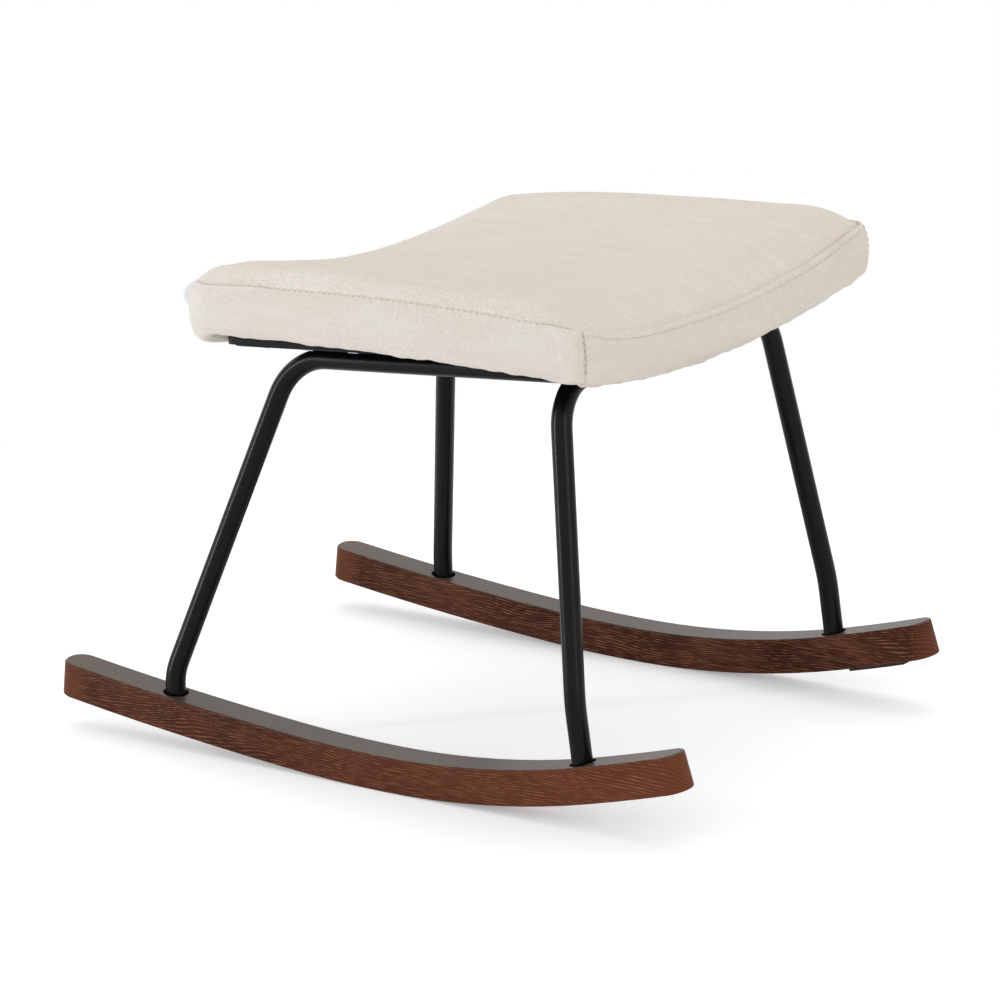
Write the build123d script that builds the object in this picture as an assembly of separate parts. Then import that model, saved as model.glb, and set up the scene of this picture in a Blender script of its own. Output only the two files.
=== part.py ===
from build123d import *
from math import asin, atan2, cos, degrees, hypot, radians, sin
import os

# Rocking footstool. Millimetres, +Z up, origin on the floor midway between the four feet.
# +X runs along the rockers towards their steeper front ends, +Y from the near rocker to the far one.

# ---- bent steel tube ----
TUBE_D = 18.0
TUBE_WALL = 1.5
FRONT_LOW_BEND_R = 140.0    # soft bend above the rocker, front legs
REAR_LOW_BEND_R = 60.0
HOOP_BEND_R = 42.0          # bend between front leg and cross bar
RAIL_BEND_R = 50.0          # bend between rear leg and seat rail
FRONT_STUB_LENGTH = 50.0    # from the rocker's top face up to the low bend's corner
REAR_STUB_LENGTH = 18.0
FRONT_STUB_LEAN = 6.8       # degrees that socket and stub lean back from upright
REAR_STUB_LEAN = 0.0

# ---- rockers: four tangent arcs, listed outwards from the point that touches the floor ----
ROCKER_WIDTH = 32.0
ROCKER_THICK = 32.0
REAR_RADIUS, REAR_SWEEP = 1430.0, 4.2
TAIL_RADIUS, TAIL_SWEEP = 4100.0, 3.6
FRONT_RADIUS, FRONT_SWEEP = 870.0, 13.9
TIP_RADIUS, TIP_SWEEP = 2000.0, 2.79
CONTACT_X = 19.4            # where the rockers touch the floor, ahead of the feet's middle
ROCKER_END_ROUND = 15.0
ROCKER_EDGE_BEVEL = 1.3

# ---- where the tubes run ----
FOOT_X = 216.0              # half the spacing of the feet along a rocker
FOOT_Y = 204.0              # half the spacing of the rockers
RAIL_Y = 116.0              # half the spacing of the two seat rails
RAIL_START_X = -136.5       # corner between rear leg and rail
RAIL_START_Z = 342.0
BAR_X = 175.0               # cross bar of the front hoop
BAR_Z = 363.0
BAR_CORNER_Y = 161.0

# ---- foot sockets and their screws ----
SOCKET_D = 23.0
SOCKET_DEPTH = 14.0
PLUG_LENGTH = 19.0
FOOT_SCREW_D = 8.0
FOOT_SCREW_REACH = 13.0     # thread length inside the plug
THREAD_RUNOUT = 2.0         # threaded hole past the screw's tip
FOOT_HEAD_D = 13.0
FOOT_HEAD_H = 5.0
FOOT_WASHER_D = 16.0
FOOT_WASHER_T = 1.6
HEAD_POCKET_DEPTH = 8.0
SCREW_CLEARANCE = 0.5       # radial play of a shank in its hole
THREAD_CLEARANCE = 0.1

# ---- grip strip under the front end of the far rocker ----
GRIP_LENGTH = 58.0
GRIP_WIDTH = 24.0
GRIP_THICK = 2.6
GRIP_START = 0.30           # degrees past the joint between front arc and tip arc

# ---- seat board, bent across the stool and laid along the rails ----
BOARD_THICK = 12.0
BOARD_BEND_R = 1040.0
BOARD_BACK = -13.0          # ends measured along the rails from their rear corner
BOARD_FRONT = 360.0
BOARD_HALF_Y = 205.0
BOARD_CORNER_R = 30.0
DUST_THICK = 1.0
DUST_MARGIN = 6.0
LAY_GAP = 0.3               # play between parts that lie on each other
COPE_GAP = 0.1              # weld gap round the cross bar

# ---- seat fixings ----
TAB_BACK = 58.0             # stations of the tabs along the rails
TAB_FRONT = 252.0
TAB_REACH = 28.0
TAB_LENGTH = 34.0
TAB_THICK = 4.0
SPACER_D = 20.0
SEAT_SCREW_D = 6.0
SEAT_HEAD_D = 10.0
SEAT_HEAD_H = 4.0
SEAT_WASHER_D = 14.0
SEAT_WASHER_T = 1.2
TEE_FLANGE_D = 18.0
TEE_FLANGE_T = 1.4
TEE_SINK = 0.8              # flange top below the board's top face
TEE_BARREL_D = 8.0
TEE_BARREL_L = 9.0
STAPLE_WIRE = 0.9
STAPLE_CROWN = 10.0
STAPLE_PITCH = 46.0
STAPLE_MARGIN = 7.0

# ---- cushion: level along the near and far sides, dished across the stool ----
PAD_OVER_BACK = 21.0        # how far the cushion's fullest outline stands out past the board
PAD_OVER_FRONT = 23.0
PAD_OVER_SIDE = 24.0
HEM_OVER_BOARD = 2.4        # hem at the sides over the middle of the board's lower edge
PAD_THICK = 50.0            # back seam over the hem
FRONT_SEAM_DROP = 5.0       # how much lower the front seam runs
DISH = 27.0                 # how far the middle hangs below the sides
CROWN = 21.0                # rise of the top over the level of its seams, mid stool
SIDE_CROWN = 16.0           # the same rise along the near and far sides
CREST_DROP_BACK = 8.0       # how much lower the top's crest is at its back shoulder
CREST_DROP_FRONT = 4.0
SHOULDER_BACK = 22.0        # length of the rounding between seam and crest
SHOULDER_FRONT = 40.0
BACK_ROUND_TOP = 14.0       # how far the back end draws in to its seam
BACK_ROUND_HEM = 20.0
FRONT_ROUND = 5.0
SIDE_PULL = 4.0             # how far the ends are drawn in, mid stool
EDGE_SOFT = 12.0            # rounding of the near and far sides at seam and hem
EDGE_FLAT = 0.8             # share of the crown that is gone at the very side
CORNER_SOFT = 5.0           # how far the back corners draw in
END_FULLEST = 0.9           # deepest rounding of the back end, as a share of half its height
COVER_THICK = 1.4
WADDING_THICK = 4.0
HEM_WIDTH = 13.0
HEM_TURN = 4.0              # height of the turned-in hem at the opening
BAND_SEAM_X = 8.0           # corner seam, back from the front face

# ---- blank loop tab in the back seam ----
TAB_LABEL_IN = 43.0         # from the cushion's near side
TAB_LABEL_HEIGHT = 36.0
TAB_LABEL_OUT = 8.0
TAB_LABEL_FOLD = 2.0
TAB_LABEL_CLOTH = 0.5

TUBE_R = TUBE_D / 2
BORE_R = TUBE_R - TUBE_WALL
NEAR, FAR = -1, 1


# ------------------------------------------------------------------ rockers
FRONT_ARCS = ((FRONT_RADIUS, FRONT_SWEEP), (TIP_RADIUS, TIP_SWEEP))
REAR_ARCS = ((REAR_RADIUS, REAR_SWEEP), (TAIL_RADIUS, TAIL_SWEEP))


def top_of_rocker(x):
    """Height of a rocker's top face at x."""
    arcs = FRONT_ARCS if x >= CONTACT_X else REAR_ARCS
    along, angle, start, height = abs(x - CONTACT_X), 0.0, 0.0, ROCKER_THICK
    for index, (radius, sweep) in enumerate(arcs):
        r = radius - ROCKER_THICK
        end = start + r * (sin(radians(angle + sweep)) - sin(radians(angle)))
        if along <= end or index == len(arcs) - 1:
            here = asin(sin(radians(angle)) + (along - start) / r)
            return height + r * (cos(radians(angle)) - cos(here))
        height += r * (cos(radians(angle)) - cos(radians(angle + sweep)))
        start, angle = end, angle + sweep


def arc_chain(arcs, sign, lift):
    """Edges of one half of a rocker's outline, lift above its underside."""
    edges, point, tangent = [], (CONTACT_X, lift), (sign, 0)
    for radius, sweep in arcs:
        edge = JernArc(start=point, tangent=tangent, radius=radius - lift, arc_size=sign * sweep)
        edges.append(edge)
        point, tangent = edge @ 1, edge % 1
    return edges


def rocker_blank():
    """One rocker centred on Y = 0, without its foot sockets."""
    edges = []
    for sign, arcs in ((1, FRONT_ARCS), (-1, REAR_ARCS)):
        under = arc_chain(arcs, sign, 0)
        over = arc_chain(arcs, sign, ROCKER_THICK)
        edges += [*under, *over, Line(under[-1] @ 1, over[-1] @ 1)]
    outline = make_face(Wire(edges))
    blank = extrude(Plane.XZ * outline, amount=ROCKER_WIDTH / 2, both=True)
    corners = blank.edges().filter_by(GeomType.LINE).filter_by(Axis.Y, reverse=True)
    blank = fillet(corners, min(ROCKER_END_ROUND, ROCKER_WIDTH / 2 - ROCKER_EDGE_BEVEL / 4))
    count = len(FRONT_ARCS) + len(REAR_ARCS)
    top = blank.faces().sort_by(lambda face: -face.normal_at(face.center()).Z)[:count]
    bottom = blank.faces().sort_by(lambda face: face.normal_at(face.center()).Z)[:count]
    rims = [edge for face in [*top, *bottom] for edge in face.edges()
            if abs(edge.tangent_at(0.5).Y) < 0.9 or edge.geom_type != GeomType.LINE]
    return chamfer(rims, ROCKER_EDGE_BEVEL)


def foot_plane(x, side):
    """Plane at a foot on a rocker's top face, its z axis along the socket and the leg's stub."""
    lean = FRONT_STUB_LEAN if x > 0 else REAR_STUB_LEAN
    axis = (-sin(radians(lean)), 0, cos(radians(lean)))
    return Plane(origin=(x, side * FOOT_Y, top_of_rocker(x)), x_dir=(axis[2], 0, -axis[0]), z_dir=axis)


def disc(plane, radius, low, high):
    """Round solid on a plane's z axis between two heights."""
    return plane * Pos(0, 0, (low + high) / 2) * Cylinder(radius, high - low)


def rocker(side):
    body = Pos(0, side * FOOT_Y, 0) * rocker_blank()
    for x in (-FOOT_X, FOOT_X):
        plane = foot_plane(x, side)
        body -= disc(plane, SOCKET_D / 2, -SOCKET_DEPTH, ROCKER_THICK)
        body -= disc(plane, FOOT_SCREW_D / 2 + SCREW_CLEARANCE, -2 * ROCKER_THICK, 0)
        body -= disc(plane, FOOT_WASHER_D / 2 + SCREW_CLEARANCE,
                     -2 * ROCKER_THICK, HEAD_POCKET_DEPTH - ROCKER_THICK)
    return body


def grip_strip():
    """Strip glued along the underside of the far rocker's tip."""
    start = radians(FRONT_SWEEP + GRIP_START)
    corner = arc_chain(FRONT_ARCS, 1, 0)[0] @ 1
    centre = Vector(corner.X - TIP_RADIUS * sin(radians(FRONT_SWEEP)),
                    corner.Y + TIP_RADIUS * cos(radians(FRONT_SWEEP)))
    sweep = GRIP_LENGTH / TIP_RADIUS
    arcs = []
    for radius in (TIP_RADIUS, TIP_RADIUS + GRIP_THICK):
        points = [centre + Vector(sin(angle), -cos(angle)) * radius
                  for angle in (start, start + sweep / 2, start + sweep)]
        arcs.append(ThreePointArc(*points))
    sides = [Line(arcs[0] @ k, arcs[1] @ k) for k in (0, 1)]
    face = make_face(Wire([*arcs, *sides]))
    return Pos(0, FOOT_Y, 0) * extrude(Plane.XZ * face, amount=GRIP_WIDTH / 2, both=True)


# ------------------------------------------------------------------ tubes
def foot_points(x, side):
    plane = foot_plane(x, side)
    stub = FRONT_STUB_LENGTH if x > 0 else REAR_STUB_LENGTH
    return [plane.origin - plane.z_dir * SOCKET_DEPTH, plane.origin + plane.z_dir * stub]


def swept(points, radii, radius):
    path = FilletPolyline(*points, radius=radii)
    return sweep(Plane(origin=path @ 0, z_dir=path % 0) * Circle(radius), path=path)


def hoop_points():
    near, far = foot_points(FOOT_X, NEAR), foot_points(FOOT_X, FAR)
    corners = [Vector(BAR_X, NEAR * BAR_CORNER_Y, BAR_Z), Vector(BAR_X, FAR * BAR_CORNER_Y, BAR_Z)]
    return [*near, *corners, *reversed(far)]


HOOP_RADII = [FRONT_LOW_BEND_R, HOOP_BEND_R, HOOP_BEND_R, FRONT_LOW_BEND_R]


def leg_hoop():
    return swept(hoop_points(), HOOP_RADII, TUBE_R) - swept(hoop_points(), HOOP_RADII, BORE_R)


def rail_leg(side):
    """Rear leg and seat rail in one tube, its front end coped round the hoop's cross bar."""
    points = [*foot_points(-FOOT_X, side), Vector(RAIL_START_X, side * RAIL_Y, RAIL_START_Z),
              Vector(BAR_X, side * RAIL_Y, BAR_Z)]
    radii = [REAR_LOW_BEND_R, RAIL_BEND_R]
    bar = Pos(BAR_X, 0, BAR_Z) * Rot(90, 0, 0) * Cylinder(TUBE_R + COPE_GAP, 2 * BAR_CORNER_Y)
    return swept(points, radii, TUBE_R) - swept(points, radii, BORE_R) - bar


def leg_plugs():
    """Threaded plugs in the four tube ends."""
    plugs = []
    for side in (NEAR, FAR):
        for x in (-FOOT_X, FOOT_X):
            plane = foot_plane(x, side)
            plug = disc(plane, BORE_R, -SOCKET_DEPTH, PLUG_LENGTH - SOCKET_DEPTH)
            thread = disc(plane, FOOT_SCREW_D / 2 + THREAD_CLEARANCE, -SOCKET_DEPTH,
                          FOOT_SCREW_REACH + THREAD_RUNOUT - SOCKET_DEPTH)
            plugs.append(plug - thread)
    return plugs


def socket_screw(plane, head_d, head_h, shank_d, under_head, tip):
    """Button screw pointing up a plane's z axis, with a hexagon socket."""
    head = disc(plane, head_d / 2, under_head - head_h, under_head)
    head = chamfer(head.edges().filter_by(GeomType.CIRCLE).group_by(
        lambda edge: (edge.center() - plane.origin).dot(plane.z_dir))[0], head_h * 0.3)
    key = plane * Pos(0, 0, under_head - head_h) * extrude(
        RegularPolygon(radius=head_d * 0.27, side_count=6), amount=head_h * 0.55)
    return head + disc(plane, shank_d / 2, under_head, tip) - key


def foot_stack():
    """Screws and washers that hold the rockers on, from below."""
    screws, washers = [], []
    seat = HEAD_POCKET_DEPTH - ROCKER_THICK
    for side in (NEAR, FAR):
        for x in (-FOOT_X, FOOT_X):
            plane = foot_plane(x, side)
            washer = disc(plane, FOOT_WASHER_D / 2, seat - FOOT_WASHER_T, seat)
            washers.append(washer - disc(plane, FOOT_SCREW_D / 2 + SCREW_CLEARANCE,
                                         seat - 2 * FOOT_WASHER_T, 0))
            screws.append(socket_screw(plane, FOOT_HEAD_D, FOOT_HEAD_H, FOOT_SCREW_D,
                                       seat - FOOT_WASHER_T, FOOT_SCREW_REACH - SOCKET_DEPTH))
    return screws, washers


# ------------------------------------------------------------------ seat board and fixings
RAIL_RUN = hypot(BAR_X - RAIL_START_X, BAR_Z - RAIL_START_Z)
RAIL_ANGLE = atan2(BAR_Z - RAIL_START_Z, BAR_X - RAIL_START_X)
# x along the rails from their rear corner, z square to them from the tube centres
RAIL_PLANE = Plane(origin=(RAIL_START_X, 0, RAIL_START_Z), x_dir=(cos(RAIL_ANGLE), 0, sin(RAIL_ANGLE)),
                   z_dir=(-sin(RAIL_ANGLE), 0, cos(RAIL_ANGLE)))
BOARD_Z = TUBE_R + DUST_THICK + 2 * LAY_GAP
TAB_Y = RAIL_Y - TUBE_R - TAB_REACH / 2


def board_under(y):
    """Height of the board's underside over the rail centres, y off the middle."""
    return BOARD_Z + BOARD_BEND_R - (BOARD_BEND_R ** 2 - y ** 2) ** 0.5


def bent_sheet(low, high, margin):
    """Sheet bent like the board, low to high over the board's underside, drawn in by margin."""
    wide = BOARD_HALF_Y + BOARD_THICK
    arcs = []
    for lift in (low, high):
        edge_z = board_under(wide) + lift
        arcs.append(ThreePointArc((-wide, edge_z), (0, BOARD_Z + lift), (wide, edge_z)))
    sides = [Line(arcs[0] @ k, arcs[1] @ k) for k in (0, 1)]
    face = Plane.YZ * make_face(Wire([*arcs, *sides]))
    length = BOARD_FRONT - BOARD_BACK
    band = Pos(BOARD_BACK - BOARD_THICK, 0, 0) * extrude(face, amount=length + 2 * BOARD_THICK)
    plan = RectangleRounded(length - 2 * margin, 2 * (BOARD_HALF_Y - margin), BOARD_CORNER_R - margin)
    middle = (BOARD_BACK + BOARD_FRONT) / 2
    prism = Pos(middle, 0, 0) * extrude(plan, amount=8 * BOARD_THICK)
    return band & prism


def fixing_spots():
    return [(x, side * TAB_Y) for side in (NEAR, FAR) for x in (TAB_BACK, TAB_FRONT)]


def upright(spot):
    """Plane at the rails' height on one fixing's axis, in the rails' frame."""
    return Plane(origin=(spot[0], spot[1], 0))


def seat_board():
    board = bent_sheet(0, BOARD_THICK, 0)
    for spot in fixing_spots():
        top = board_under(spot[1]) + BOARD_THICK
        board -= disc(upright(spot), TEE_BARREL_D / 2 + SCREW_CLEARANCE, 0, top + BOARD_THICK)
        board -= disc(upright(spot), TEE_FLANGE_D / 2 + SCREW_CLEARANCE,
                      top - TEE_SINK - TEE_FLANGE_T - LAY_GAP, top + BOARD_THICK)
    return RAIL_PLANE * board


def dust_cover():
    sheet = bent_sheet(-DUST_THICK - LAY_GAP, -LAY_GAP, DUST_MARGIN)
    for spot in fixing_spots():
        sheet -= disc(upright(spot), SPACER_D / 2 + SCREW_CLEARANCE, 0, 4 * BOARD_THICK)
    return RAIL_PLANE * sheet


def seat_tabs():
    tabs = []
    for x, y in fixing_spots():
        side = 1 if y > 0 else -1
        plate = Pos(x, y + side * TUBE_R / 2, TAB_THICK / 2) * Box(TAB_LENGTH, TAB_REACH + TUBE_R, TAB_THICK)
        corners = plate.edges().filter_by(Axis.Z).sort_by(lambda edge: side * edge.center().Y)[:2]
        plate = fillet(corners, TAB_THICK)
        rail = Pos(x, side * RAIL_Y, 0) * Rot(0, 90, 0) * Cylinder(TUBE_R, 2 * TAB_LENGTH)
        plate -= rail
        plate -= disc(upright((x, y)), SEAT_SCREW_D / 2 + SCREW_CLEARANCE, -TAB_THICK, 2 * TAB_THICK)
        tabs.append(RAIL_PLANE * plate.solids().sort_by(lambda solid: solid.volume)[-1])
    return tabs


def seat_spacers():
    spacers = []
    board = bent_sheet(0, BOARD_THICK, 0)
    for spot in fixing_spots():
        spacer = disc(upright(spot), SPACER_D / 2, TAB_THICK, board_under(spot[1]) + BOARD_THICK / 2)
        spacer -= disc(upright(spot), SEAT_SCREW_D / 2 + SCREW_CLEARANCE, 0, 4 * BOARD_THICK)
        spacers.append(RAIL_PLANE * (spacer - board))
    return spacers


def seat_stack():
    """Screws, washers and tee nuts that hold the board on the tabs."""
    screws, washers, nuts = [], [], []
    for spot in fixing_spots():
        axis = upright(spot)
        top = board_under(spot[1]) + BOARD_THICK - TEE_SINK
        washer = disc(axis, SEAT_WASHER_D / 2, -SEAT_WASHER_T, 0)
        washer -= disc(axis, SEAT_SCREW_D / 2 + SCREW_CLEARANCE, -2 * SEAT_WASHER_T, 0)
        screw = socket_screw(axis, SEAT_HEAD_D, SEAT_HEAD_H, SEAT_SCREW_D, -SEAT_WASHER_T,
                             top - TEE_FLANGE_T)
        nut = disc(axis, TEE_FLANGE_D / 2, top - TEE_FLANGE_T, top)
        nut += disc(axis, TEE_BARREL_D / 2, top - TEE_BARREL_L, top - TEE_FLANGE_T / 2)
        nut -= disc(axis, SEAT_SCREW_D / 2 + THREAD_CLEARANCE, 0, top + TEE_FLANGE_T)
        screws.append(RAIL_PLANE * screw)
        washers.append(RAIL_PLANE * washer)
        nuts.append(RAIL_PLANE * nut)
    return screws, washers, nuts


def staple(x, y, turn):
    """One staple under the dust cover, its crown flush with the cloth."""
    z = board_under(y) - LAY_GAP - DUST_THICK
    crown = Pos(0, 0, -STAPLE_WIRE / 2) * Box(STAPLE_CROWN, STAPLE_WIRE, STAPLE_WIRE)
    return RAIL_PLANE * Pos(x, y, z) * Rot(degrees(asin(y / BOARD_BEND_R)), 0, 0) * Rot(0, 0, turn) * crown


def dust_staples():
    """Staple crowns round the edge of the dust cover."""
    half = BOARD_HALF_Y - DUST_MARGIN - STAPLE_MARGIN
    back = BOARD_BACK + DUST_MARGIN + STAPLE_MARGIN
    front = BOARD_FRONT - DUST_MARGIN - STAPLE_MARGIN
    inner_x = (back + BOARD_CORNER_R, front - BOARD_CORNER_R)
    inner_y = (BOARD_CORNER_R - half, half - BOARD_CORNER_R)
    along = max(int((inner_x[1] - inner_x[0]) // STAPLE_PITCH), 1)
    across = max(int((inner_y[1] - inner_y[0]) // STAPLE_PITCH), 1)
    crowns = []
    for k in range(along + 1):
        x = inner_x[0] + (inner_x[1] - inner_x[0]) * k / along
        crowns += [staple(x, -half, 0), staple(x, half, 0)]
    for k in range(across + 1):
        y = inner_y[0] + (inner_y[1] - inner_y[0]) * k / across
        crowns += [staple(back, y, 90), staple(front, y, 90)]
    return crowns


# ------------------------------------------------------------------ cushion
BOARD_MIDDLE = (BOARD_BACK + BOARD_FRONT) / 2
BOARD_EDGE = (RAIL_PLANE.origin + RAIL_PLANE.x_dir * BOARD_MIDDLE
              + RAIL_PLANE.z_dir * board_under(BOARD_HALF_Y))
PAD_BACK = RAIL_START_X + BOARD_BACK - PAD_OVER_BACK
PAD_FRONT = RAIL_START_X + BOARD_FRONT + PAD_OVER_FRONT
PAD_HALF_Y = BOARD_HALF_Y + PAD_OVER_SIDE
HEM_Z = BOARD_EDGE.Z + HEM_OVER_BOARD
SEAM_Z = HEM_Z + PAD_THICK

# Stations across the stool as shares of the half width, with the share of the edge
# rounding that the section has there.
STATIONS = ((1.0, 1.0), (0.985, 0.6), (0.96, 0.28), (0.92, 0.05), (0.84, 0.0), (0.56, 0.0), (0.28, 0.0))


def cushion_section(y_share, soft, inset):
    """Closed outline across X at one station, drawn in by inset."""
    drop = DISH * (1 - y_share ** 2)
    pull = SIDE_PULL * (1 - y_share ** 2)
    fullness = 1 - soft * EDGE_FLAT
    crown = (SIDE_CROWN + (CROWN - SIDE_CROWN) * (1 - y_share ** 2)) * fullness
    y = PAD_HALF_Y * y_share
    y = y - inset if y > 0 else y
    top = SEAM_Z - drop - inset - soft * EDGE_SOFT
    hem = HEM_Z - drop + inset + soft * EDGE_SOFT / 2
    back, front = PAD_BACK + pull + inset + soft * CORNER_SOFT, PAD_FRONT - pull - inset
    middle = (top + hem) / 2
    fullest = END_FULLEST * (top - middle)
    back_end = (back, middle)
    back_top = (back + min(BACK_ROUND_TOP, fullest), top)
    back_hem = (back + min(BACK_ROUND_HEM, fullest), hem)
    front_top = (front - FRONT_ROUND, top - FRONT_SEAM_DROP)
    front_hem = (front - FRONT_ROUND, hem)
    crest_back = (back_top[0] + SHOULDER_BACK, top + crown - CREST_DROP_BACK * fullness)
    crest_front = (front_top[0] - SHOULDER_FRONT, top + crown - CREST_DROP_FRONT * fullness)
    edges = [TangentArc(back_end, back_hem, tangent=(0, -1)),
             TangentArc(back_end, back_top, tangent=(0, 1)),
             TangentArc(crest_back, back_top, tangent=(-1, 0)),
             ThreePointArc(crest_back, ((back + front) / 2, top + crown), crest_front),
             TangentArc(crest_front, front_top, tangent=(1, 0)),
             ThreePointArc(front_top, (front, middle), front_hem),
             Line(front_hem, back_hem)]
    return y, make_face(Wire(edges))


def cushion_form(inset):
    """The cushion's outer form, drawn in by inset on every side."""
    faces = []
    for share, soft in STATIONS:
        y, face = cushion_section(share, soft, inset)
        faces.append((y, face))
    sections = [Plane.XZ.offset(y) * face for y, face in faces]
    sections.append(Plane.XZ * cushion_section(0.0, 0.0, inset)[1])
    sections += [Plane.XZ.offset(-y) * face for y, face in reversed(faces)]
    return loft(sections, ruled=True)


def block_above(seam_z, rise):
    """Everything over a dished surface that meets the near and far sides at seam_z."""
    wide = PAD_HALF_Y + EDGE_SOFT
    drop = DISH * (wide / PAD_HALF_Y) ** 2
    low = seam_z - DISH
    arc = ThreePointArc((-wide, low + drop), (0, low), (wide, low + drop))
    roof = Polyline(arc @ 1, (wide, seam_z + rise), (-wide, seam_z + rise), arc @ 0)
    face = Plane.YZ * make_face(Wire([arc, *roof.edges()]))
    return Pos(PAD_BACK - EDGE_SOFT, 0, 0) * extrude(face, amount=PAD_FRONT - PAD_BACK + 2 * EDGE_SOFT)


def board_clearance():
    """Room kept in the filling for the board and everything under it."""
    half = BOARD_HALF_Y + LAY_GAP
    edge_z = board_under(half) + BOARD_THICK + LAY_GAP
    arc = ThreePointArc((-half, edge_z), (0, BOARD_Z + BOARD_THICK + LAY_GAP), (half, edge_z))
    floor = Polyline(arc @ 1, (half, -TUBE_R), (-half, -TUBE_R), arc @ 0)
    face = Plane.YZ * make_face(Wire([arc, *floor.edges()]))
    length = BOARD_FRONT - BOARD_BACK + 2 * LAY_GAP
    return RAIL_PLANE * Pos(BOARD_BACK - LAY_GAP, 0, 0) * extrude(face, amount=length)


def hem_opening():
    """The gap in the cover's underside, inside its turned hem."""
    length = PAD_FRONT - PAD_BACK - 2 * HEM_WIDTH - BACK_ROUND_HEM
    middle = (PAD_FRONT + PAD_BACK + BACK_ROUND_HEM) / 2
    half = PAD_HALF_Y - HEM_WIDTH - COVER_THICK
    prism = Pos(middle, 0, HEM_Z - 3 * DISH) * extrude(
        RectangleRounded(length, 2 * half, BOARD_CORNER_R / 2), amount=3 * DISH)
    return prism - block_above(HEM_Z + HEM_TURN, 3 * DISH)


def biggest(shape):
    return shape.solids().sort_by(lambda solid: solid.volume)[-1]


def cover_panels():
    """Top, wrap band and front band of the cover."""
    shell = cushion_form(0) - cushion_form(COVER_THICK) - hem_opening()
    shell -= board_clearance()
    over_seam = block_above(SEAM_Z - FRONT_SEAM_DROP, 3 * DISH)
    top = shell & over_seam
    bands = shell - over_seam
    corner = PAD_FRONT - BAND_SEAM_X
    wide = 4 * PAD_HALF_Y
    front_block = Pos(corner + wide / 2, 0, SEAM_Z) * Box(wide, wide, wide)
    return biggest(top), biggest(bands - front_block), biggest(bands & front_block)


def filling():
    """Foam block and the wadding over it, both resting on the board."""
    room = board_clearance()
    under_cover = COVER_THICK + LAY_GAP
    under_wadding = under_cover + WADDING_THICK
    wadding = cushion_form(under_cover) - cushion_form(under_wadding) - room
    wadding &= block_above(HEM_Z + under_wadding + LAY_GAP, 3 * DISH + PAD_THICK)
    foam = cushion_form(under_wadding + 3 * LAY_GAP) - room
    return biggest(foam), biggest(wadding)


def blank_tab():
    """Folded loop of plain tape sewn in at the back end."""
    out = TAB_LABEL_OUT + BACK_ROUND_TOP
    outer = RectangleRounded(out, TAB_LABEL_FOLD, TAB_LABEL_FOLD * 0.45)
    inner = RectangleRounded(out - 2 * TAB_LABEL_CLOTH, TAB_LABEL_FOLD - 2 * TAB_LABEL_CLOTH,
                             TAB_LABEL_FOLD * 0.2)
    loop = extrude(outer - inner, amount=TAB_LABEL_HEIGHT)
    y = TAB_LABEL_IN - PAD_HALF_Y
    seam = SEAM_Z - DISH * (1 - (y / PAD_HALF_Y) ** 2)
    x = PAD_BACK - TAB_LABEL_OUT + out / 2
    loop = Pos(x, y, seam - TAB_LABEL_HEIGHT) * loop
    return biggest(loop - cushion_form(0))


# ------------------------------------------------------------------ write the parts
def build():
    foot_screws, foot_washers = foot_stack()
    seat_screws, seat_washers, tee_nuts = seat_stack()
    cover_top, cover_wrap_band, cover_front_band = cover_panels()
    foam, wadding = filling()
    return {
        "rocker_near": rocker(NEAR),
        "rocker_far": rocker(FAR),
        "grip_strip_far": grip_strip(),
        "leg_hoop": leg_hoop(),
        "rail_leg_near": rail_leg(NEAR),
        "rail_leg_far": rail_leg(FAR),
        "leg_plugs": leg_plugs(),
        "foot_screws": foot_screws,
        "foot_washers": foot_washers,
        "seat_tabs": seat_tabs(),
        "seat_spacers": seat_spacers(),
        "seat_screws": seat_screws,
        "seat_washers": seat_washers,
        "tee_nuts": tee_nuts,
        "seat_board": seat_board(),
        "dust_cover": dust_cover(),
        "dust_staples": dust_staples(),
        "foam_core": foam,
        "wadding": wadding,
        "cover_top": cover_top,
        "cover_wrap_band": cover_wrap_band,
        "cover_front_band": cover_front_band,
        "blank_tab": blank_tab(),
    }


os.makedirs("parts", exist_ok=True)
for name, shape in build().items():
    solids = shape if isinstance(shape, list) else [shape]
    solids = [solid for item in solids for solid in item.solids()]
    export_step(solids[0] if len(solids) == 1 else Compound(children=solids), f"parts/{name}.step")
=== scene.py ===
from math import cos, pi, radians, sin

import bmesh
import bpy
import numpy as np
from mathutils import Matrix, Vector
from mathutils.bvhtree import BVHTree


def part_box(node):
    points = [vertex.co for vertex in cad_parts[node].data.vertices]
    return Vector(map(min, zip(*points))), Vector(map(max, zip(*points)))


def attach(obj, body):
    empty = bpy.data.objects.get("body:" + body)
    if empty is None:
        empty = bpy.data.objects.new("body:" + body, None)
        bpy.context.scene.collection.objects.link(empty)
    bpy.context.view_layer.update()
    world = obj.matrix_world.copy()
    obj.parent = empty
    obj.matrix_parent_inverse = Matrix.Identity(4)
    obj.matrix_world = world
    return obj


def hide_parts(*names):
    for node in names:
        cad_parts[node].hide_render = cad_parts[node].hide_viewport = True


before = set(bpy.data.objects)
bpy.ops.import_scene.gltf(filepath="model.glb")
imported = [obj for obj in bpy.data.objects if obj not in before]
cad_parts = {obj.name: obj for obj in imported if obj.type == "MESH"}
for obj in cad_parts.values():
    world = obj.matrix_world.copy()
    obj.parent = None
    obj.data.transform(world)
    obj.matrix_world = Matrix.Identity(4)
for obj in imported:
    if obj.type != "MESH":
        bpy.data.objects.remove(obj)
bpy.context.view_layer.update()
MM = 0.001
TAU = 2 * pi


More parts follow.
